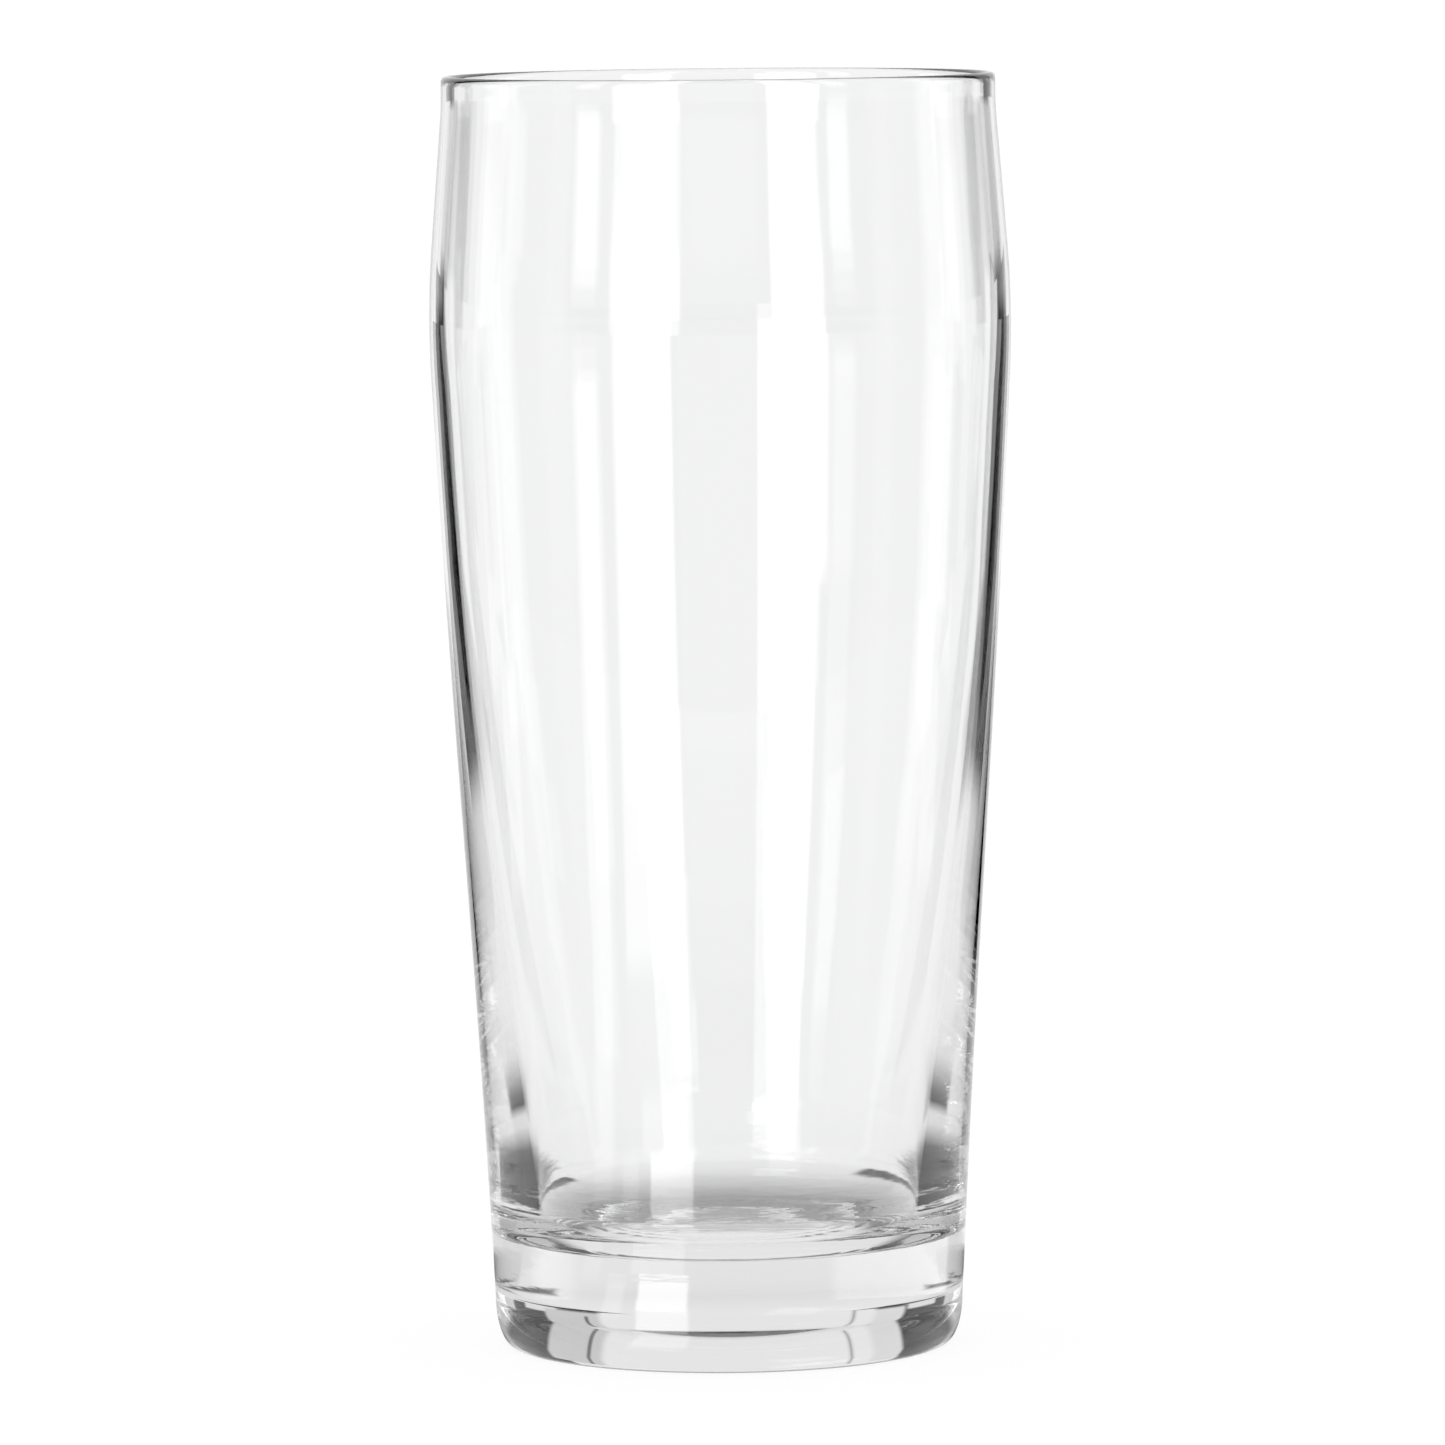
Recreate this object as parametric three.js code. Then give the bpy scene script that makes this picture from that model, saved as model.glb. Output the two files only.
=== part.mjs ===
// A one-pint drinking glass: a thick-based tumbler that widens gently to a soft bulge below the
// rim, draws in above it, and ends in an upright, fire-polished lip.
//
// The glass is one fused piece, a solid of revolution about +Z. Units are millimetres, and the
// origin is the centre of the ring it stands on. The outline is a closed loop in the half plane
// (radius, height): underside, heel, outer wall, lip, inner wall, inside corner and inside floor.

import * as THREE from 'three';

// ---- Driving dimensions ----

// Outside
const GLASS_HEIGHT = 162.9;
const RIM_RADIUS = 35.35;
const LIP_HEIGHT = 4; // the upright band under the rim
const LIP_ROUNDING = 90; // radius of the bend from the upright band into the upper cone
const BULGE_RADIUS = 37.45; // where the lower cone and the upper cone would meet, unrounded
const BULGE_BELOW_RIM = 30.4;
const BULGE_ROUNDING = 132;
const FOOT_RADIUS = 30.05; // at the top of the rounded heel
const FOOT_FLARE = 0.13; // how far the lower wall sways in and out of a straight cone
const HEEL_HEIGHT = 5.9;
const HEEL_WIDTH = 2.25;

// Underside
const BEARING_WIDTH = 5; // flat ring that the glass stands on
const PUNT_DEPTH = 0.9; // shallow hollow inside that ring

// Wall, from the rim down, measured level across the wall
const RIM_WALL = 1.42;
const BODY_WALL = 1.92;
const RIM_TAPER_SPAN = 47; // below the rim, the wall has reached BODY_WALL
const ROOT_WALL_GAIN = 4.55; // what the wall gains on its way down to the inside floor
const ROOT_SPAN = 86; // height over which it gains it
const RIM_TAPER_POWER = 1.5;
const ROOT_POWER = 1.75;

// Inside floor
const FLOOR_THICKNESS = 13.7;
const FLOOR_CORNER_RADIUS = 5.6;

// ---- Fineness of the faceting ----

const SEGMENTS_ROUND = 72;
const STEPS = { punt: 4, heel: 7, lowerWall: 8, bulge: 6, lipBend: 3, rim: 8, innerWall: 14, corner: 6 };

// ---- Outline helpers: every point is a Vector2 of (radius, height) ----

const point = (radius, height) => new THREE.Vector2(radius, height);

/** Points along an elliptical arc, angles in radians from the outward direction. */
function arcPoints(centre, radiusAcross, radiusUp, from, to, steps) {
  const clockwise = to < from;
  const curve = new THREE.EllipseCurve(centre.x, centre.y, radiusAcross, radiusUp, from, to, clockwise);
  return curve.getPoints(steps);
}

/**
 * A circular bend that touches the line before-corner and the line corner-after. Its radius is
 * kept to what the shorter of the two lines has room for.
 */
function bendPoints(before, corner, after, radius, steps) {
  const back = before.clone().sub(corner);
  const ahead = after.clone().sub(corner);
  const room = 0.48 * Math.min(back.length(), ahead.length());
  back.normalize();
  ahead.normalize();
  const halfOpening = Math.acos(THREE.MathUtils.clamp(back.dot(ahead), -1, 1)) / 2;
  const reach = Math.min(radius / Math.tan(halfOpening), room);
  const start = corner.clone().addScaledVector(back, reach);
  const end = corner.clone().addScaledVector(ahead, reach);
  const centreDistance = reach / Math.cos(halfOpening);
  const towardsCentre = back.clone().add(ahead).normalize();
  const centre = corner.clone().addScaledVector(towardsCentre, centreDistance);
  const bendRadius = start.distanceTo(centre);
  const from = start.clone().sub(centre).angle();
  const quarter = Math.PI / 2;
  const turn = THREE.MathUtils.euclideanModulo(end.clone().sub(centre).angle() - from, 4 * quarter);
  const shortTurn = turn > 2 * quarter ? turn - 4 * quarter : turn;
  return arcPoints(centre, bendRadius, bendRadius, from, from + shortTurn, steps);
}

/** A straight line that sways to one side and then to the other, as one wave of a sine. */
function swayingLine(start, end, sway, steps) {
  const points = [];
  for (let step = 0; step <= steps; step += 1) {
    const share = step / steps;
    const along = start.clone().lerp(end, share);
    points.push(point(along.x - sway * Math.sin(2 * Math.PI * share), along.y));
  }
  return points;
}

/** Radius of an outline at a height, between its points; the outline climbs all the way. */
function radiusAt(outline, height) {
  const above = outline.findIndex((p) => p.y >= height);
  if (above <= 0) return above === 0 ? outline[0].x : outline[outline.length - 1].x;
  const low = outline[above - 1];
  const high = outline[above];
  return THREE.MathUtils.mapLinear(height, low.y, high.y, low.x, high.x);
}

// ---- Stretches of the outline ----

const rimRounding = RIM_WALL / 2; // the lip is a full half round
const lipTop = GLASS_HEIGHT - rimRounding;
const bearingOuter = FOOT_RADIUS - HEEL_WIDTH;
const bearingInner = bearingOuter - BEARING_WIDTH;

/** Underside from the axis out to the bearing ring: a shallow cosine hollow. */
function punt() {
  const points = [];
  for (let step = 0; step <= STEPS.punt; step += 1) {
    const share = step / STEPS.punt;
    const height = (PUNT_DEPTH * (1 + Math.cos(Math.PI * share))) / 2;
    points.push(point(bearingInner * share, height));
  }
  return points;
}

/** The heel, an elliptical quarter round from the bearing ring up to the wall. */
function heel() {
  const centre = point(bearingOuter, HEEL_HEIGHT);
  return arcPoints(centre, HEEL_WIDTH, HEEL_HEIGHT, -Math.PI / 2, 0, STEPS.heel);
}

/** The outer wall from the heel to where the rim starts to turn in. */
function outerWall() {
  const foot = point(FOOT_RADIUS, HEEL_HEIGHT);
  const bulge = point(BULGE_RADIUS, GLASS_HEIGHT - BULGE_BELOW_RIM);
  const lipFoot = point(RIM_RADIUS, GLASS_HEIGHT - LIP_HEIGHT);
  const lipEnd = point(RIM_RADIUS, lipTop);
  const bulgeBend = bendPoints(foot, bulge, lipFoot, BULGE_ROUNDING, STEPS.bulge);
  const lipBend = bendPoints(bulge, lipFoot, lipEnd, LIP_ROUNDING, STEPS.lipBend);
  const lowerWall = swayingLine(foot, bulgeBend[0], FOOT_FLARE, STEPS.lowerWall);
  return [...lowerWall, ...bulgeBend.slice(1), ...lipBend, lipEnd];
}

/** The rounded rim, a half round from the outside over to the inside. */
function rim() {
  const centre = point(RIM_RADIUS - rimRounding, lipTop);
  return arcPoints(centre, rimRounding, rimRounding, 0, Math.PI, STEPS.rim);
}

/**
 * Wall thickness at a height. It tapers over RIM_TAPER_SPAN below the rim, and gains
 * ROOT_WALL_GAIN over ROOT_SPAN on the way down to the inside floor.
 */
function wallAt(height) {
  const { clamp } = THREE.MathUtils;
  const towardsRim = clamp(1 - (lipTop - height) / RIM_TAPER_SPAN, 0, 1);
  const towardsRoot = clamp(1 - (height - FLOOR_THICKNESS) / ROOT_SPAN, 0, 1);
  const rimLoss = (BODY_WALL - RIM_WALL) * towardsRim ** RIM_TAPER_POWER;
  return BODY_WALL - rimLoss + ROOT_WALL_GAIN * towardsRoot ** ROOT_POWER;
}

/** The inner wall, from the rim down to the top of the inside corner. */
function innerWall(outside, cornerTop) {
  const points = [];
  for (let step = 0; step <= STEPS.innerWall; step += 1) {
    const height = THREE.MathUtils.lerp(lipTop, cornerTop, step / STEPS.innerWall);
    points.push(point(radiusAt(outside, height) - wallAt(height), height));
  }
  return points;
}

/** The inside corner, a quarter round from the inner wall down to the flat floor. */
function insideCorner(wallFoot) {
  const centre = point(wallFoot.x - FLOOR_CORNER_RADIUS, FLOOR_THICKNESS + FLOOR_CORNER_RADIUS);
  return arcPoints(centre, FLOOR_CORNER_RADIUS, FLOOR_CORNER_RADIUS, 0, -Math.PI / 2, STEPS.corner);
}

/** The whole outline, from the axis under the glass round to the axis on the inside floor. */
function glassOutline() {
  const outside = outerWall();
  const inside = innerWall(outside, FLOOR_THICKNESS + FLOOR_CORNER_RADIUS);
  const corner = insideCorner(inside[inside.length - 1]);
  const outline = [...punt(), ...heel(), ...outside, ...rim(), ...inside, ...corner, point(0, FLOOR_THICKNESS)];
  const apart = (p, index) => index === 0 || p.distanceTo(outline[index - 1]) > 1e-3;
  return outline.filter(apart);
}

// ---- The piece ----

function makeGlassBody() {
  const geometry = new THREE.LatheGeometry(glassOutline(), SEGMENTS_ROUND);
  geometry.rotateX(Math.PI / 2); // the lathe turns about +Y, the glass stands along +Z
  const material = new THREE.MeshStandardMaterial({
    name: 'clear_glass',
    color: 0xeef2f1,
    roughness: 0.03,
    metalness: 0,
    transparent: true,
    opacity: 0.35,
  });
  const mesh = new THREE.Mesh(geometry, material);
  mesh.name = 'glass_body';
  return mesh;
}

const pintGlass = new THREE.Group();
pintGlass.add(makeGlassBody());

export default pintGlass;
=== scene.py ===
"""A clear pint drinking glass in a bright-field studio.

The glass is one fused piece: a solid of revolution whose outline runs from the axis under the base,
round the heel, up the outer wall, over the fire-polished lip, down the inner wall and across the
inside floor. The piece is turned from that outline on a fine grid, with the small waves that a
pressed and blown glass keeps. It stands on a pale floor inside a light tent that is fixed in the
room: a white backdrop straight behind it, dark flags beside the backdrop, soft boxes at the sides
and in front, and a pale surround everywhere else.
"""

import logging
import math
from dataclasses import dataclass, field, replace
from enum import Enum

import bpy
import numpy as np
from mathutils import Matrix, Vector


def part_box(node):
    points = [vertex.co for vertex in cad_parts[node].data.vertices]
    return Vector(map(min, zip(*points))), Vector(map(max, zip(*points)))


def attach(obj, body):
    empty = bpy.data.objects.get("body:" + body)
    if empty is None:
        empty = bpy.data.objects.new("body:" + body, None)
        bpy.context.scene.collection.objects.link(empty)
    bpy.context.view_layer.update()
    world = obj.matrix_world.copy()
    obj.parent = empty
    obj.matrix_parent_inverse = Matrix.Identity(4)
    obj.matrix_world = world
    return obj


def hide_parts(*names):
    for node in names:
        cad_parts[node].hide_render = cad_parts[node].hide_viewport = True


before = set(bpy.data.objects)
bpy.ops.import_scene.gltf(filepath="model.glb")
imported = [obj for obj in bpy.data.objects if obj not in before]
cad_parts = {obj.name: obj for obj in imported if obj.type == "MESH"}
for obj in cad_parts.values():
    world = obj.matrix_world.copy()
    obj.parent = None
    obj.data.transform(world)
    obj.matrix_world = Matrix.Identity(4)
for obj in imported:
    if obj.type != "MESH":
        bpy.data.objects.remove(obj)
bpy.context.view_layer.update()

log = logging.getLogger("pint_glass")

MM = 0.001
GLASS_NODE = "glass_body"
ROOT_BODY = "root"


# ---- Mesh helpers ----


def ellipse_arc(
    centre: tuple[float, float],
    radii: tuple[float, float],
    turn: tuple[float, float],
    count: int,
) -> np.ndarray:
    """Points on an ellipse: (r, z) = centre + (a cos t, b sin t), with t evenly spaced.

    Args:
        centre: The ellipse's centre (radius, height).
        radii: Its half axes (a, b) across and up.
        turn: The first and last t, in radians.
        count: Number of points.

    Returns:
        An array of shape (count, 2).
    """
    t = np.linspace(turn[0], turn[1], count)
    return np.stack([centre[0] + radii[0] * np.cos(t), centre[1] + radii[1] * np.sin(t)], axis=1)


def tangent_bend(
    before: tuple[float, float],
    corner: tuple[float, float],
    after: tuple[float, float],
    radius: float,
    count: int,
) -> np.ndarray:
    """A circular bend that touches the lines before-corner and corner-after.

    The bend leaves each line at a distance radius / tan(half the opening) from the corner, kept to
    what the shorter line has room for, and its centre lies on the bisector.

    Args:
        before: A point on the first line.
        corner: Where the lines meet.
        after: A point on the second line.
        radius: The bend's radius where there is room for it.
        count: Number of points.

    Returns:
        An array of shape (count, 2).
    """
    tip = np.array(corner)
    back, ahead = np.array(before) - tip, np.array(after) - tip
    room = 0.48 * min(np.linalg.norm(back), np.linalg.norm(ahead))
    back, ahead = back / np.linalg.norm(back), ahead / np.linalg.norm(ahead)
    half_opening = math.acos(np.clip(back @ ahead, -1, 1)) / 2
    reach = min(radius / math.tan(half_opening), room)
    towards = (back + ahead) / np.linalg.norm(back + ahead)
    centre = tip + towards * reach / math.cos(half_opening)
    start, end = tip + back * reach - centre, tip + ahead * reach - centre
    bend_radius = float(np.linalg.norm(start))
    first = math.atan2(start[1], start[0])
    turn = (math.atan2(end[1], end[0]) - first + math.pi) % (2 * math.pi) - math.pi
    return ellipse_arc(tuple(centre), (bend_radius, bend_radius), (first, first + turn), count)


def turned_mesh(name: str, rings: np.ndarray) -> bpy.types.Object:
    """A closed shell from rings of points, closed by one point at each end.

    Ring i, place j is joined to ring i + 1 and place j + 1, and the last place joins the first. The
    first and last rings have shrunk to a point, so each becomes one vertex with a fan of triangles.

    Args:
        name: The object's name.
        rings: Points of shape (rings, places, 3), from the pole below to the pole inside.

    Returns:
        The new object, smooth shaded, with its faces outwards.
    """
    middle = rings[1:-1]
    count, places = middle.shape[:2]
    points = np.concatenate([rings[0, :1], middle.reshape(-1, 3), rings[-1, :1]])
    index = 1 + np.arange(count * places).reshape(count, places)
    onward = np.roll(index, -1, axis=1)
    quads = np.stack([index[:-1], onward[:-1], onward[1:], index[1:]], axis=-1).reshape(-1, 4)
    last = len(points) - 1
    first_fan = np.stack([np.zeros(places, int), onward[0], index[0]], axis=-1)
    last_fan = np.stack([index[-1], onward[-1], np.full(places, last)], axis=-1)
    mesh = bpy.data.meshes.new(name)
    mesh.from_pydata(points.tolist(), [], quads.tolist() + first_fan.tolist() + last_fan.tolist())
    mesh.polygons.foreach_set("use_smooth", np.ones(len(mesh.polygons), bool))
    mesh.update()
    piece = bpy.data.objects.new(name, mesh)
    bpy.context.scene.collection.objects.link(piece)
    return piece


def plain_mesh(name: str, points: np.ndarray, faces: list[list[int]]) -> bpy.types.Object:
    """A linked object from points and faces.

    Args:
        name: The object's name.
        points: Points of shape (count, 3).
        faces: The faces' corners.

    Returns:
        The new object.
    """
    mesh = bpy.data.meshes.new(name)
    mesh.from_pydata(points.tolist(), [], faces)
    piece = bpy.data.objects.new(name, mesh)
    bpy.context.scene.collection.objects.link(piece)
    return piece


def rise(x: np.ndarray, start: float, end: float) -> np.ndarray:
    """A smooth step from 0 at start to 1 at end: 3t^2 - 2t^3 with t between them."""
    t = np.clip((x - start) / (end - start), 0, 1)
    return t * t * (3 - 2 * t)


# ---- Finishes ----


def fresh_material(name: str) -> tuple[bpy.types.Material, bpy.types.NodeTree, bpy.types.Node]:
    """A new node material that holds only its output node.

    Args:
        name: The material's name.

    Returns:
        The material, its node tree and its output node.
    """
    material = bpy.data.materials.new(name)
    material.use_nodes = True
    tree = material.node_tree
    tree.nodes.clear()
    return material, tree, tree.nodes.new("ShaderNodeOutputMaterial")


@dataclass(frozen=True)
class ClearGlassFinish:
    """Clear soda-lime glass: polished, faintly absorbing, with the soft waves of a hot surface."""

    refractive_index: float = 1.52
    tint: tuple[float, float, float] = (0.995, 0.998, 0.997)
    absorption_per_metre: float = 2.7
    polish: tuple[float, float] = (0.0, 0.012)
    smudge_scale: float = 26.0
    wave_count: tuple[float, float, float] = (170.0, 170.0, 1000.0)
    wave_height: float = 13e-6
    wave_span: tuple[float, float] = (7 * MM, 26 * MM)
    wave_fade: float = 5 * MM

    def material(self) -> bpy.types.Material:
        """The glass material, with roughness and bump from noise on object coordinates."""
        material, tree, output = fresh_material("clear_glass")
        nodes, links = tree.nodes, tree.links
        glass = nodes.new("ShaderNodeBsdfPrincipled")
        glass.inputs["Base Color"].default_value = (*self.tint, 1)
        glass.inputs["IOR"].default_value = self.refractive_index
        glass.inputs["Transmission Weight"].default_value = 1.0
        place = nodes.new("ShaderNodeTexCoord")
        self._add_polish(tree, glass, place)
        self._add_waves(tree, glass, place)
        depth = nodes.new("ShaderNodeVolumeAbsorption")
        depth.inputs["Color"].default_value = (0.5, 0.5, 0.5, 1)
        depth.inputs["Density"].default_value = 2 * self.absorption_per_metre
        links.new(glass.outputs["BSDF"], output.inputs["Surface"])
        links.new(depth.outputs["Volume"], output.inputs["Volume"])
        return material

    def _add_polish(
        self, tree: bpy.types.NodeTree, glass: bpy.types.Node, place: bpy.types.Node
    ) -> None:
        """Roughness that drifts between a clean and a faintly handled polish."""
        noise = tree.nodes.new("ShaderNodeTexNoise")
        noise.inputs["Scale"].default_value = self.smudge_scale
        noise.inputs["Detail"].default_value = 3.0
        spread = tree.nodes.new("ShaderNodeMapRange")
        spread.inputs["From Min"].default_value = 0.55
        spread.inputs["From Max"].default_value = 0.8
        spread.inputs["To Min"].default_value = self.polish[0]
        spread.inputs["To Max"].default_value = self.polish[1]
        tree.links.new(place.outputs["Object"], noise.inputs["Vector"])
        tree.links.new(noise.outputs["Fac"], spread.inputs["Value"])
        tree.links.new(spread.outputs["Result"], glass.inputs["Roughness"])

    def _add_waves(
        self, tree: bpy.types.NodeTree, glass: bpy.types.Node, place: bpy.types.Node
    ) -> None:
        """Chill waves round the base: flat-lying noise that fades out above and below its span."""
        nodes, links = tree.nodes, tree.links
        stretch = nodes.new("ShaderNodeVectorMath")
        stretch.operation = "MULTIPLY"
        stretch.inputs[1].default_value = self.wave_count
        noise = nodes.new("ShaderNodeTexNoise")
        noise.inputs["Scale"].default_value = 1.0
        noise.inputs["Detail"].default_value = 2.0
        split = nodes.new("ShaderNodeSeparateXYZ")
        middle, reach = sum(self.wave_span) / 2, (self.wave_span[1] - self.wave_span[0]) / 2
        away = nodes.new("ShaderNodeMath")
        away.operation = "SUBTRACT"
        away.inputs[1].default_value = middle
        size = nodes.new("ShaderNodeMath")
        size.operation = "ABSOLUTE"
        fade = nodes.new("ShaderNodeMapRange")
        fade.inputs["From Min"].default_value = reach
        fade.inputs["From Max"].default_value = reach - self.wave_fade
        bump = nodes.new("ShaderNodeBump")
        bump.inputs["Distance"].default_value = self.wave_height
        links.new(place.outputs["Object"], stretch.inputs[0])
        links.new(stretch.outputs["Vector"], noise.inputs["Vector"])
        links.new(place.outputs["Object"], split.inputs["Vector"])
        links.new(split.outputs["Z"], away.inputs[0])
        links.new(away.outputs["Value"], size.inputs[0])
        links.new(size.outputs["Value"], fade.inputs["Value"])
        links.new(fade.outputs["Result"], bump.inputs["Strength"])
        links.new(noise.outputs["Fac"], bump.inputs["Height"])
        links.new(bump.outputs["Normal"], glass.inputs["Normal"])


@dataclass(frozen=True)
class FloorFinish:
    """Matt white acrylic, lit from below, that keeps only a faint shadow."""

    paper: float = 0.12
    glow: float = 0.9

    def material(self) -> bpy.types.Material:
        """A diffuse sheet that also glows, so both together come to the backdrop's white."""
        material, tree, output = fresh_material("floor_white")
        sheet = tree.nodes.new("ShaderNodeBsdfDiffuse")
        sheet.inputs["Color"].default_value = (self.paper, self.paper, self.paper, 1)
        light = tree.nodes.new("ShaderNodeEmission")
        light.inputs["Strength"].default_value = self.glow
        both = tree.nodes.new("ShaderNodeAddShader")
        tree.links.new(sheet.outputs["BSDF"], both.inputs[0])
        tree.links.new(light.outputs["Emission"], both.inputs[1])
        tree.links.new(both.outputs["Shader"], output.inputs["Surface"])
        return material


@dataclass(frozen=True)
class TentFinish:
    """Light that the tent gives off, read from the mesh's own brightness attribute."""

    attribute: str = "brightness"

    def material(self) -> bpy.types.Material:
        """An emission whose strength is the attribute, kept out of the light sampling."""
        material, tree, output = fresh_material("tent_light")
        reading = tree.nodes.new("ShaderNodeAttribute")
        reading.attribute_name = self.attribute
        light = tree.nodes.new("ShaderNodeEmission")
        tree.links.new(reading.outputs["Fac"], light.inputs["Strength"])
        tree.links.new(light.outputs["Emission"], output.inputs["Surface"])
        material.cycles.emission_sampling = "NONE"
        return material


def lit(piece: bpy.types.Object, values: np.ndarray, finish: TentFinish) -> bpy.types.Object:
    """Gives a piece of the light set its brightness, seen only through or off the glass.

    Args:
        piece: The piece of the set.
        values: The brightness at each of its vertices.
        finish: Its finish.

    Returns:
        The same piece.
    """
    store = piece.data.attributes.new(finish.attribute, "FLOAT", "POINT")
    store.data.foreach_set("value", values.astype(np.float32))
    piece.data.materials.append(finish.material())
    piece.visible_camera = False
    piece.visible_diffuse = False
    piece.visible_shadow = False
    piece.visible_volume_scatter = False
    return piece


# ---- The glass ----


@dataclass
class PintGlass:
    """The glass body. Lengths are in metres; height comes from the CAD box."""

    height: float
    rim_radius: float = 35.35 * MM
    lip_height: float = 4 * MM
    lip_rounding: float = 90 * MM
    bulge_radius: float = 37.45 * MM
    bulge_below_rim: float = 30.4 * MM
    bulge_rounding: float = 132 * MM
    foot_radius: float = 30.05 * MM
    foot_flare: float = 0.13 * MM
    heel_height: float = 5.9 * MM
    heel_width: float = 2.25 * MM
    bearing_width: float = 5 * MM
    punt_depth: float = 0.9 * MM
    rim_wall: float = 1.42 * MM
    body_wall: float = 1.92 * MM
    rim_taper_span: float = 47 * MM
    rim_taper_power: float = 1.5
    root_wall_gain: float = 4.55 * MM
    root_span: float = 86 * MM
    root_power: float = 1.75
    floor_thickness: float = 13.7 * MM
    floor_corner: float = 5.6 * MM
    floor_rings: tuple[tuple[float, float, float], ...] = (
        (17.2 * MM, 0.9 * MM, 0.22 * MM),
        (14.8 * MM, 0.7 * MM, 0.10 * MM),
        (9.5 * MM, 2.2 * MM, 0.04 * MM),
    )
    places_round: int = 240
    finish: ClearGlassFinish = field(default_factory=ClearGlassFinish)

    def __post_init__(self) -> None:
        """Works out the places that several stretches of the outline share."""
        self.lip_top = self.height - self.rim_wall / 2
        self.bearing_outer = self.foot_radius - self.heel_width
        self.bearing_inner = self.bearing_outer - self.bearing_width
        self.corner_top = self.floor_thickness + self.floor_corner

    def underside(self) -> np.ndarray:
        """The hollow z = depth (1 + cos(pi r / R)) / 2 inside the bearing ring, then the ring."""
        r = np.linspace(0, self.bearing_inner, 22)
        z = self.punt_depth * (1 + np.cos(math.pi * r / self.bearing_inner)) / 2
        ring = np.linspace(self.bearing_inner, self.bearing_outer, 6)[1:]
        return np.concatenate([np.stack([r, z], axis=1), np.stack([ring, 0 * ring], axis=1)])

    def heel(self) -> np.ndarray:
        """An elliptical quarter round from the bearing ring up to the wall."""
        centre = (self.bearing_outer, self.heel_height)
        return ellipse_arc(centre, (self.heel_width, self.heel_height), (-math.pi / 2, 0), 26)

    def outer_wall(self) -> np.ndarray:
        """Lower cone with its sway r - flare sin(2 pi t), bulge, upper cone and upright lip."""
        foot = (self.foot_radius, self.heel_height)
        bulge = (self.bulge_radius, self.height - self.bulge_below_rim)
        lip_foot = (self.rim_radius, self.height - self.lip_height)
        lip_end = (self.rim_radius, self.lip_top)
        bulge_bend = tangent_bend(foot, bulge, lip_foot, self.bulge_rounding, 22)
        lip_bend = tangent_bend(bulge, lip_foot, lip_end, self.lip_rounding, 10)
        t = np.linspace(0, 1, 80)[:, None]
        cone = np.array(foot) * (1 - t) + bulge_bend[0] * t
        cone[:, 0] -= self.foot_flare * np.sin(2 * math.pi * t[:, 0])
        upper = np.linspace(bulge_bend[-1], lip_bend[0], 12)[1:-1]
        upright = np.linspace(lip_bend[-1], lip_end, 4)[1:]
        return np.concatenate([cone, bulge_bend[1:], upper, lip_bend, upright])

    def lip(self) -> np.ndarray:
        """The fire-polished lip, a half round over the wall."""
        half = self.rim_wall / 2
        return ellipse_arc((self.rim_radius - half, self.lip_top), (half, half), (0, math.pi), 20)

    def wall_at(self, z: np.ndarray) -> np.ndarray:
        """Wall thickness, level across the wall, at heights z.

        body - (body - rim) a^p + gain b^q, where a rises from 0 to 1 over the taper below the lip
        and b rises from 0 to 1 over the root span down to the inside floor.
        """
        a = np.clip(1 - (self.lip_top - z) / self.rim_taper_span, 0, 1)
        b = np.clip(1 - (z - self.floor_thickness) / self.root_span, 0, 1)
        thinner = (self.body_wall - self.rim_wall) * a**self.rim_taper_power
        return self.body_wall - thinner + self.root_wall_gain * b**self.root_power

    def inner_wall(self, outside: np.ndarray) -> np.ndarray:
        """The outer wall's radius less the wall, from the lip down to the inside corner.

        The rows stand level with the outer wall's own, so both surfaces stay equally smooth.
        """
        between = (outside[:, 1] > self.corner_top + 0.5 * MM) & (outside[:, 1] < self.lip_top)
        z = np.concatenate([[self.lip_top], outside[between, 1][::-1], [self.corner_top]])
        return np.stack([np.interp(z, outside[:, 1], outside[:, 0]) - self.wall_at(z), z], axis=1)

    def inside_floor(self, wall_foot: np.ndarray) -> np.ndarray:
        """The quarter-round corner and the floor in to the axis.

        The plunger leaves low rings on the floor: each adds height exp(-((r - at) / width)^2).
        """
        centre = (wall_foot[0] - self.floor_corner, self.corner_top)
        corner = ellipse_arc(centre, (self.floor_corner,) * 2, (0, -math.pi / 2), 24)
        r = np.linspace(centre[0], 0, 60)
        z = np.full_like(r, self.floor_thickness)
        for at, width, height in self.floor_rings:
            z += height * np.exp(-(((r - at) / width) ** 2))
        return np.concatenate([corner, np.stack([r, z], axis=1)[1:]])

    def outline(self) -> np.ndarray:
        """The whole outline with no point twice, from the axis below to the axis inside."""
        outside = self.outer_wall()
        inner = self.inner_wall(outside)
        parts = [self.underside(), self.heel(), outside, self.lip(), inner]
        line = np.concatenate([*parts, self.inside_floor(inner[-1])])
        apart = np.linalg.norm(np.diff(line, axis=0), axis=1) > 1e-7
        return line[np.concatenate([[True], apart])]

    def build(self) -> bpy.types.Object:
        """Turns the outline round the axis: (x, y, z) = (r cos a, r sin a, z)."""
        line = self.outline()
        turn = np.linspace(0, 2 * math.pi, self.places_round, endpoint=False)
        r, z = line[:, :1], np.repeat(line[:, 1:], self.places_round, axis=1)
        rings = np.stack([r * np.cos(turn), r * np.sin(turn), z], axis=-1)
        piece = turned_mesh("pint_glass", rings)
        piece.data.materials.append(self.finish.material())
        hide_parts(GLASS_NODE)
        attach(piece, ROOT_BODY)
        return piece


# ---- The studio ----


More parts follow.
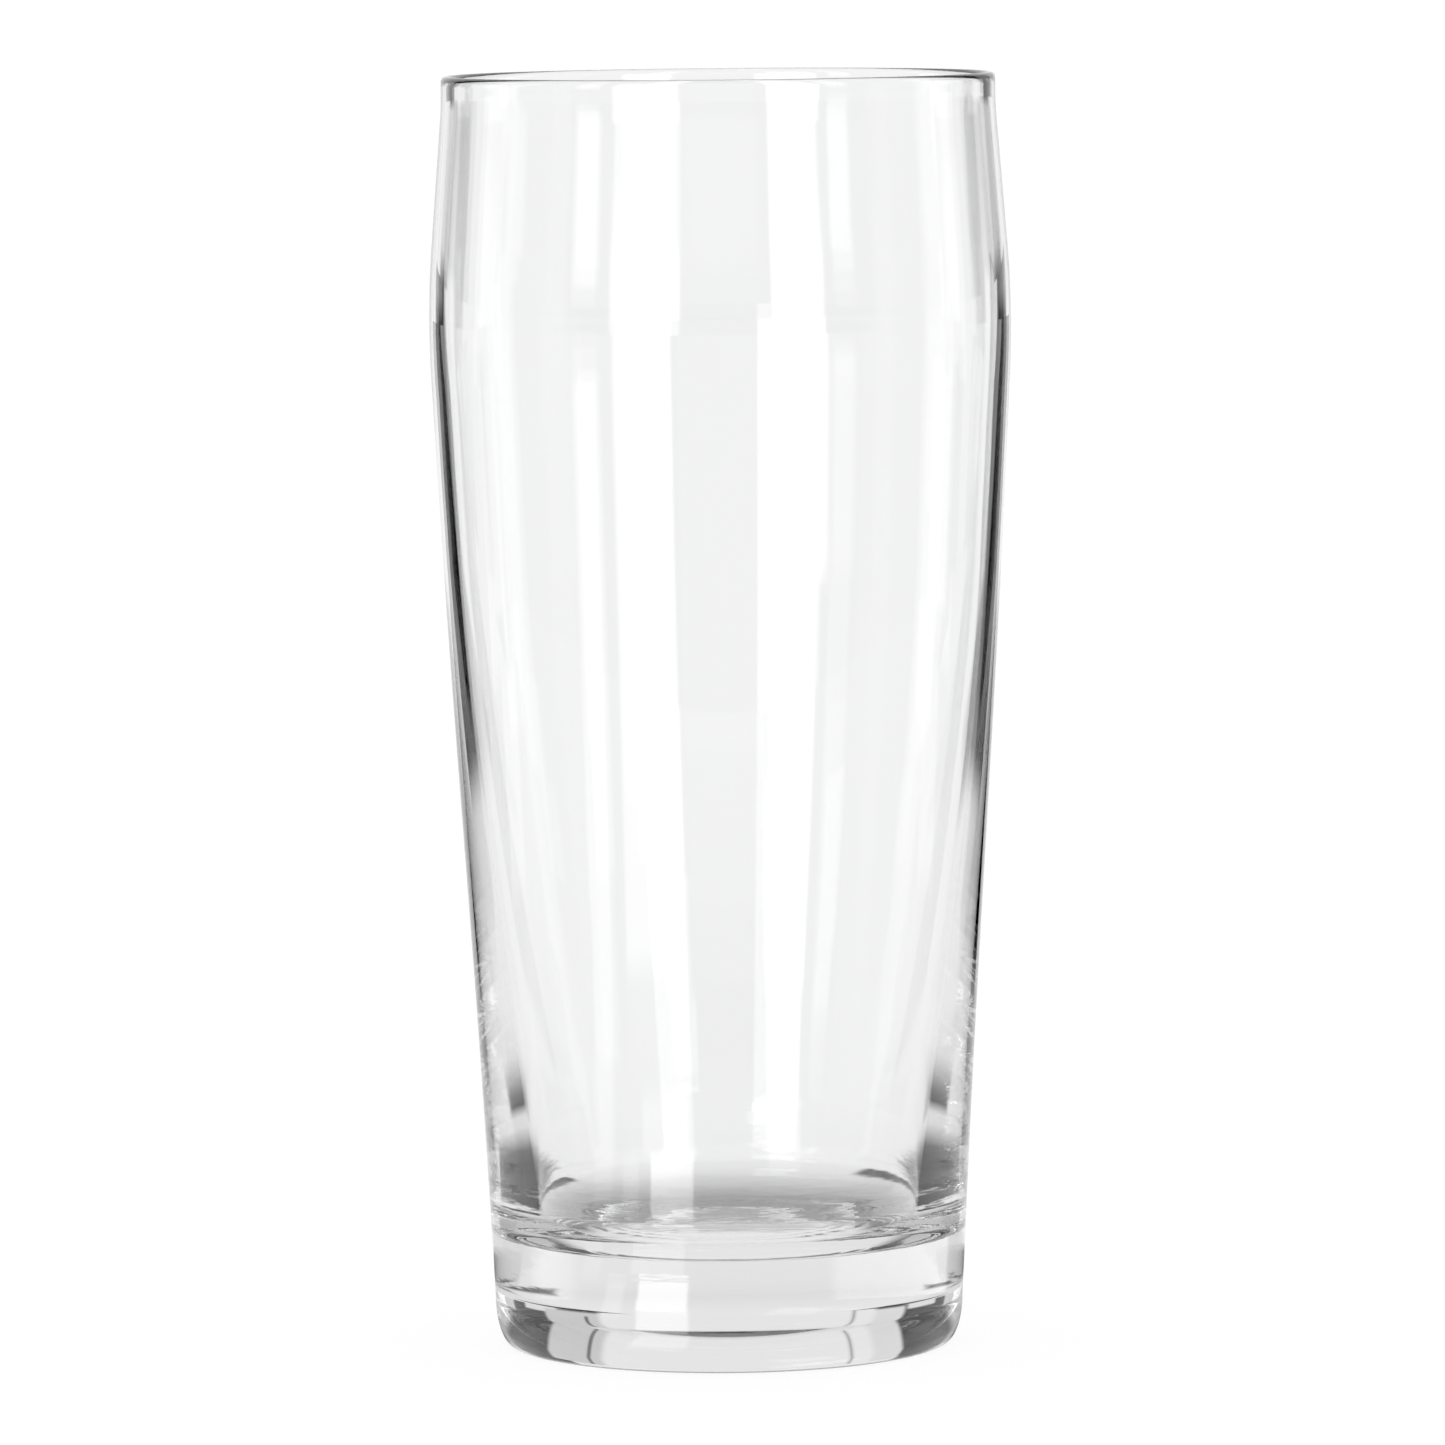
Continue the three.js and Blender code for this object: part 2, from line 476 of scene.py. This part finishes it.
@dataclass
class Camera:
    """A long lens a little above the rim, tilted down at the middle of the glass."""

    lens: float = 241.5
    sensor: float = 36.0
    distance: float = 1.2379
    height: float = 0.1893
    aim_height: float = 0.0799
    aim_across: float = -0.18 * MM
    roll_degrees: float = -0.54

    def build(self) -> bpy.types.Object:
        """Makes the camera, looking along +Y, and gives it to the scene."""
        data = bpy.data.cameras.new("camera")
        data.lens, data.sensor_width = self.lens, self.sensor
        camera = bpy.data.objects.new("camera", data)
        bpy.context.scene.collection.objects.link(camera)
        eye = Vector((self.aim_across, -self.distance, self.height))
        aim = Vector((self.aim_across, 0, self.aim_height))
        look = (aim - eye).to_track_quat("-Z", "Y").to_matrix().to_4x4()
        roll = Matrix.Rotation(math.radians(self.roll_degrees), 4, "Z")
        camera.matrix_world = Matrix.Translation(eye) @ look @ roll
        bpy.context.scene.camera = camera
        return camera


class Surface(Enum):
    """What a band of light is painted on."""

    TENT = "tent"
    TABLE = "table"


@dataclass(frozen=True)
class Band:
    """A band of light as the glass sees it, round from straight behind and negative to the left.

    Angles are in degrees. Near and far are elevations in degrees on the tent, and distances from
    the axis in metres on the table.
    """

    surface: Surface
    start: float
    end: float
    near: float
    far: float
    brightness: float
    softness: float = 1.0
    edge: float = 0.5

    def cover(self, azimuth: np.ndarray, depth: np.ndarray) -> np.ndarray:
        """1 inside the band and 0 outside, with soft edges: the product of its two directions.

        Args:
            azimuth: Degrees round from straight behind the glass.
            depth: Elevation on the tent, distance on the table.

        Returns:
            The share of each place that the band covers.
        """
        soft, edge = self.softness, self.edge
        if self.surface is Surface.TABLE:
            edge = 0.08 * self.edge * self.near
        round_it = rise(azimuth, self.start - soft, self.start + soft)
        round_it = round_it * (1 - rise(azimuth, self.end - soft, self.end + soft))
        along = rise(depth, self.near - edge, self.near + edge)
        return round_it * along * (1 - rise(depth, self.far - edge, self.far + edge))


def mirrored(band: Band) -> tuple[Band, Band]:
    """The band and its twin on the other side."""
    return band, replace(band, start=-band.end, end=-band.start)


@dataclass
class LightTent:
    """A white backdrop straight behind, soft boxes and strips round it, and a pale surround.

    Beside the backdrop hangs black cloth, which gives way to the surround at the surround's angles.
    """

    radius: float = 3.0
    centre_height: float = 0.08
    darkness: float = 0.03
    surround_brightness: float = 0.7
    surround_angles: tuple[float, float] = (62, 74)
    bands: tuple[Band, ...] = (
        *mirrored(Band(Surface.TENT, 58, 116, -4, 5, 0.7)),
        *mirrored(Band(Surface.TENT, 116, 163, -4, 7, 0.5)),
        *mirrored(Band(Surface.TENT, 163, 185, -4, 5, 0.5)),
        Band(Surface.TENT, -80, -67, -4, 5, 1.5),
        Band(Surface.TENT, 67, 79, -4, 5, 1.5),
        Band(Surface.TENT, -130, -119.5, 1.5, 3.2, 1.4),
        Band(Surface.TENT, -130, -119.5, 3.2, 9, 2.1),
        Band(Surface.TENT, -164, -136, -4, 7.5, 3.0),
        Band(Surface.TENT, 138.5, 158.5, -4, 7.5, 3.0),
        Band(Surface.TENT, -51, -38, -4, 1, 0.85),
        Band(Surface.TENT, 36, 50, -4, 1, 0.85),
        Band(Surface.TENT, -37, -27, -1, 18, 0.8),
        Band(Surface.TENT, 23, 40.5, -1, 18, 0.65),
        Band(Surface.TENT, -38, 34, 18, 55, 0.9),
        Band(Surface.TENT, -28, 24, -4, 55, 0.93),
        Band(Surface.TENT, 26.8, 27.8, 1, 18, 0.15, softness=0.3),
        Band(Surface.TENT, -22.9, -22.1, -4, 18, 0.4, softness=0.3),
        Band(Surface.TENT, -185, 185, 55, 90, 0.45, edge=4.0),
    )
    finish: TentFinish = field(default_factory=TentFinish)

    def brightness(self, azimuth: np.ndarray, elevation: np.ndarray) -> np.ndarray:
        """The black cloth and the surround, with each band laid over those before it."""
        around = rise(np.abs(azimuth), *self.surround_angles)
        level = self.darkness + (self.surround_brightness - self.darkness) * around
        for band in self.bands:
            level += (band.brightness - level) * band.cover(azimuth, elevation)
        return level

    def build(self) -> bpy.types.Object:
        """Makes the tent, a sphere whose rows stand close where the bands have their edges."""
        rows = [np.linspace(-90, -5, 12)[:-1], np.arange(-5, 26, 0.5), np.linspace(26, 90, 40)]
        azimuth, elevation = np.meshgrid(np.arange(-180, 180, 0.5), np.concatenate(rows))
        level = self.brightness(azimuth, elevation)
        across, up = np.radians(azimuth), np.radians(elevation)
        x, y = np.cos(up) * np.sin(across), np.cos(up) * np.cos(across)
        rings = np.stack([x, y, np.sin(up)], axis=-1) * self.radius
        tent = turned_mesh("light_tent", rings + (0, 0, self.centre_height))
        values = np.concatenate([level[0, :1], level[1:-1].reshape(-1), level[-1, :1]])
        return lit(tent, values, self.finish)


@dataclass
class LightTable:
    """The table as the glass sees it: a bright sweep running back between two dark flags.

    Behind the glass a painted shadow of the glass dims the table by exp(-(distance - start) /
    reach).
    """

    radius: float = 3.0
    drop: float = 0.2 * MM
    nearest: float = 4 * MM
    sweep_brightness: float = 0.93
    sweep_left: tuple[float, float] = (0.055, 0.36)
    sweep_right: tuple[float, float] = (0.055, 0.28)
    flag_angles: tuple[float, float] = (57, 53)
    flag_left: tuple[float, float] = (0.20, 0.60)
    flag_right: tuple[float, float] = (0.18, 0.55)
    flag_start: tuple[float, float] = (0.30, 0.40)
    surround_brightness: float = 0.85
    surround_angles: tuple[float, float] = (62, 74)
    surround_start: tuple[float, float] = (0.10, 0.13)
    # Arcs of painted shade on the table: their spans round the glass, their reach out from it and
    # their depth.
    arc_spans: tuple[tuple[float, float], ...] = ((-76, -29), (21.5, 76))
    arc_reach: tuple[float, float] = (0.066, 0.090)
    arc_depth: float = 0.93
    # A painted shadow of the glass on the table: where it is full and how fast it fades.
    painted_shadow_start: float = 26 * MM
    painted_shadow_reach: float = 22 * MM
    under_brightness: float = 0.85
    under_span: tuple[float, float] = (0.017, 0.023)
    far_brightness: float = 0.9
    far_span: tuple[float, float] = (0.25, 0.90)
    bands: tuple[Band, ...] = (
        *mirrored(Band(Surface.TABLE, 30, 78, 0.07, 0.102, 0.78)),
        *mirrored(Band(Surface.TABLE, 163, 185, 0.11, 0.28, 0.65)),
        *mirrored(Band(Surface.TABLE, 163, 185, 0.28, 4, 1.0)),
        Band(Surface.TABLE, -86, -75, 0.12, 0.35, 1.0),
        Band(Surface.TABLE, -84, -74, 0.35, 0.60, 1.6),
        Band(Surface.TABLE, -80, -68, 0.60, 1.20, 1.6),
        Band(Surface.TABLE, -81, -66, 1.20, 4, 1.5),
        Band(Surface.TABLE, 79, 89, 0.35, 0.60, 1.6),
        Band(Surface.TABLE, 72, 84, 0.60, 1.20, 1.6),
        Band(Surface.TABLE, 67, 79, 1.20, 4, 1.5),
        Band(Surface.TABLE, -138, -130, 0.060, 0.078, 2.2),
        Band(Surface.TABLE, -126, -117, 0.078, 0.11, 1.5),
        Band(Surface.TABLE, -129, -120, 0.11, 0.20, 1.5),
        Band(Surface.TABLE, -130, -121, 0.20, 0.30, 2.3),
        Band(Surface.TABLE, -130, -120, 0.30, 1.0, 2.5),
        Band(Surface.TABLE, -130, -120, 1.0, 2.0, 1.4),
        Band(Surface.TABLE, -167, -149, 0.036, 0.052, 2.8),
        Band(Surface.TABLE, -165, -145, 0.052, 0.062, 4.5),
        Band(Surface.TABLE, -164, -144, 0.062, 0.080, 6.5),
        Band(Surface.TABLE, -162, -140, 0.080, 0.10, 2.3),
        Band(Surface.TABLE, -158, -137, 0.10, 0.25, 1.05),
        Band(Surface.TABLE, -158, -137, 0.25, 4, 3.0),
        Band(Surface.TABLE, 149, 163, 0.14, 0.25, 2.9),
        Band(Surface.TABLE, 147, 161, 0.25, 0.60, 3.0),
        Band(Surface.TABLE, 137, 160, 0.60, 4, 3.0),
    )
    finish: TentFinish = field(default_factory=TentFinish)

    def brightness(self, azimuth: np.ndarray, distance: np.ndarray) -> np.ndarray:
        """The lit table, surround, bands, flags, sweep, painted shade arcs and painted shadow, in
        that order.

        Args:
            azimuth: Degrees round from straight behind the glass.
            distance: Metres from the axis.

        Returns:
            The brightness at each place.
        """
        turn = np.radians(azimuth)
        across, back = distance * np.sin(turn), distance * np.cos(turn)
        level = self.far_brightness * rise(distance, *self.far_span)
        beside = rise(np.abs(azimuth), *self.surround_angles)
        around = np.maximum(beside, rise(distance, *self.surround_start))
        level += np.clip(self.surround_brightness - level, 0, None) * around
        for band in self.bands:
            level += (band.brightness - level) * band.cover(azimuth, distance)
        behind = back > 0
        left = edge_line(-across, back, self.flag_left, 0.015)
        left *= 1 - rise(-azimuth, self.flag_angles[0] - 1, self.flag_angles[0] + 1)
        right = edge_line(across, back, self.flag_right, 0.015)
        right *= 1 - rise(azimuth, self.flag_angles[1] - 1, self.flag_angles[1] + 1)
        flag = np.where(azimuth < 0, left, right) * behind * rise(distance, *self.flag_start)
        level *= 1 - flag
        sweep = edge_line(-across, back, self.sweep_left, 0.004)
        sweep = sweep * edge_line(across, back, self.sweep_right, 0.004) * behind
        level += (self.sweep_brightness - level) * sweep
        # Painted shade: two dark arcs on the table that darken both sides of the base.
        level *= 1 - self.arc_depth * self.painted_shade_arcs(azimuth, distance)
        # Painted shadow of the glass on the table behind it: full near the bearing ring, then
        # fading with distance.
        shade = np.exp(-np.clip(distance - self.painted_shadow_start, 0, None) / self.painted_shadow_reach)
        level *= 1 - shade * (1 - rise(np.abs(azimuth), 85, 110))
        # Under the glass, inside the bearing ring, the painted shadow gives way to the table's
        # level there.
        under = 1 - rise(distance, *self.under_span)
        return level + (self.under_brightness - level) * under

    def painted_shade_arcs(self, azimuth: np.ndarray, distance: np.ndarray) -> np.ndarray:
        """1 on two arcs of painted shade close behind the glass, which darken both sides of its
        base.
        """
        near, far = self.arc_reach
        ring = rise(distance, near - 0.006, near + 0.004)
        ring = ring * (1 - rise(distance, far - 0.006, far + 0.006))
        cover = 0 * distance
        for start, end in self.arc_spans:
            span = rise(azimuth, start - 1.5, start + 1.5)
            cover = cover + span * (1 - rise(azimuth, end - 1.5, end + 1.5))
        return ring * cover

    def build(self, level: float) -> bpy.types.Object:
        """Makes the table a hair under the bearing ring, with rings spaced in proportion.

        The middle, inside the nearest ring, is a fan of triangles round one point.
        """
        far = np.geomspace(self.nearest, self.radius, 137)[:, None]
        azimuth = np.arange(-180, 180, 0.5)[None, :] + 0 * far
        distance = far + 0 * azimuth
        across = np.radians(azimuth)
        height = np.full_like(distance, level - self.drop)
        rings = np.stack([distance * np.sin(across), distance * np.cos(across), height], axis=-1)
        points = np.concatenate([[[0, 0, level - self.drop]], rings.reshape(-1, 3)])
        count, places = distance.shape
        index = 1 + np.arange(count * places).reshape(count, places)
        onward = np.roll(index, -1, axis=1)
        quads = np.stack([index[:-1], index[1:], onward[1:], onward[:-1]], axis=-1)
        fan = np.stack([np.zeros(places, int), index[0], onward[0]], axis=-1)
        faces = quads.reshape(-1, 4).tolist() + fan.tolist()
        table = plain_mesh("light_table", points, faces)
        values = self.brightness(azimuth, distance).reshape(-1)
        return lit(table, np.concatenate([[self.under_brightness], values]), self.finish)


def edge_line(
    across: np.ndarray, back: np.ndarray, line: tuple[float, float], softness: float
) -> np.ndarray:
    """1 on the near side of the line across = offset + slope * back, 0 beyond, softly."""
    beyond = across - line[0] - line[1] * back
    return 1 - rise(beyond, -softness, softness)


@dataclass
class Floor:
    """A wide round sheet at the level of the bearing ring."""

    radius: float = 60.0
    finish: FloorFinish = field(default_factory=FloorFinish)

    def build(self, level: float) -> bpy.types.Object:
        """Makes the sheet at that level, unseen by rays through or off the glass."""
        turn = np.linspace(0, 2 * math.pi, 96, endpoint=False)
        edge = np.stack([np.cos(turn), np.sin(turn), 0 * turn], axis=-1) * self.radius
        floor = plain_mesh("floor", edge + (0, 0, level), [list(range(len(turn)))])
        floor.data.materials.append(self.finish.material())
        floor.visible_transmission = False
        floor.visible_glossy = False
        return floor


@dataclass
class Studio:
    """World light and picture settings."""

    sky: float = 1.0
    bounces: int = 32

    def build(self) -> None:
        """An even white world, a plain tone curve and enough bounces for thick glass."""
        scene = bpy.context.scene
        world = bpy.data.worlds.new("white_room")
        world.use_nodes = True
        background = world.node_tree.nodes["Background"]
        background.inputs["Color"].default_value = (1, 1, 1, 1)
        background.inputs["Strength"].default_value = self.sky
        scene.world = world
        scene.view_settings.view_transform = "Standard"
        scene.view_settings.look = "None"
        scene.cycles.max_bounces = self.bounces
        scene.cycles.transmission_bounces = self.bounces
        scene.cycles.glossy_bounces = self.bounces
        scene.cycles.use_denoising = True


# ---- Putting it together ----


def main() -> None:
    """Builds the glass, the floor, the camera and the tent in order, and reports each."""
    logging.basicConfig(level=logging.INFO, format="%(name)s: %(message)s")
    low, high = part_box(GLASS_NODE)
    glass = PintGlass(height=high.z - low.z).build()
    log.info("%s: %d faces", glass.name, len(glass.data.polygons))
    floor = Floor().build(low.z)
    log.info("%s at %.4f m", floor.name, low.z)
    camera = Camera().build()
    log.info("%s at %.3f m", camera.name, camera.location.length)
    light_set = [LightTent().build(), LightTable().build(low.z)]
    log.info("light set: %s", ", ".join(piece.name for piece in light_set))
    Studio().build()


if __name__ == "__main__":
    main()
